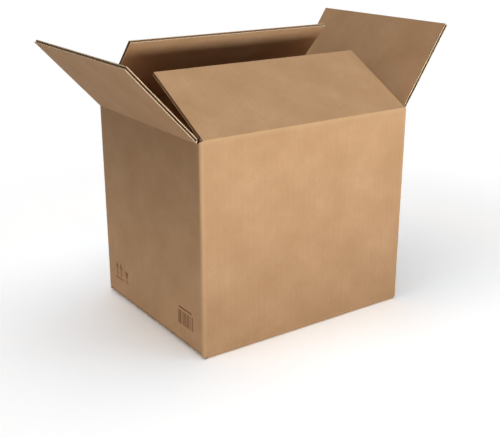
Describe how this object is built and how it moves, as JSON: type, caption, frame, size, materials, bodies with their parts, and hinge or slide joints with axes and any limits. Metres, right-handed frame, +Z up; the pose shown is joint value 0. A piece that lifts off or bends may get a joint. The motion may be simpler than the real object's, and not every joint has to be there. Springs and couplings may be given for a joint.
{
  "type": "corrugated shipping box",
  "caption": "Slotted single-wall corrugated carton with a glued bottom and its top flaps standing open, each on a crease at its wall's top edge.",
  "frame": {"origin": "middle of the carton's underside, on the plane it stands on; the mount named base lies 2 mm beside it, because the bottom flaps' seam runs through the exact middle", "axes": "+X along the two long walls, from the left flap to the right one; +Y from the front wall to the back one; +Z up"},
  "size_m": [0.4456, 0.242, 0.3542],
  "materials": {
    "kraft_outside": "matt brown kraft liner on solid-modelled corrugated board",
    "kraft_flaps": "matt brown kraft liner on board with open flutes"
  },
  "bodies": {
    "box": {"carton_body": "kraft_outside"},
    "front_flap": {"front_flap": "kraft_flaps"},
    "back_flap": {"back_flap": "kraft_flaps"},
    "left_flap": {"left_flap": "kraft_flaps"},
    "right_flap": {"right_flap": "kraft_flaps"}
  },
  "joints": [
    {"name": "front_crease", "type": "hinge", "parent": "box", "child": "front_flap", "pos_m": [0, -0.121, 0.258], "axis": [1, 0, 0], "range_deg": [-29, 236]},
    {"name": "back_crease", "type": "hinge", "parent": "box", "child": "back_flap", "pos_m": [0, 0.121, 0.258], "axis": [-1, 0, 0], "range_deg": [-46.5, 218.5]},
    {"name": "left_crease", "type": "hinge", "parent": "box", "child": "left_flap", "pos_m": [-0.15, 0, 0.2535], "axis": [0, -1, 0], "range_deg": [-43, 132]},
    {"name": "right_crease", "type": "hinge", "parent": "box", "child": "right_flap", "pos_m": [0.15, 0, 0.2535], "axis": [0, 1, 0], "range_deg": [-33.5, 141.5]}
  ]
}
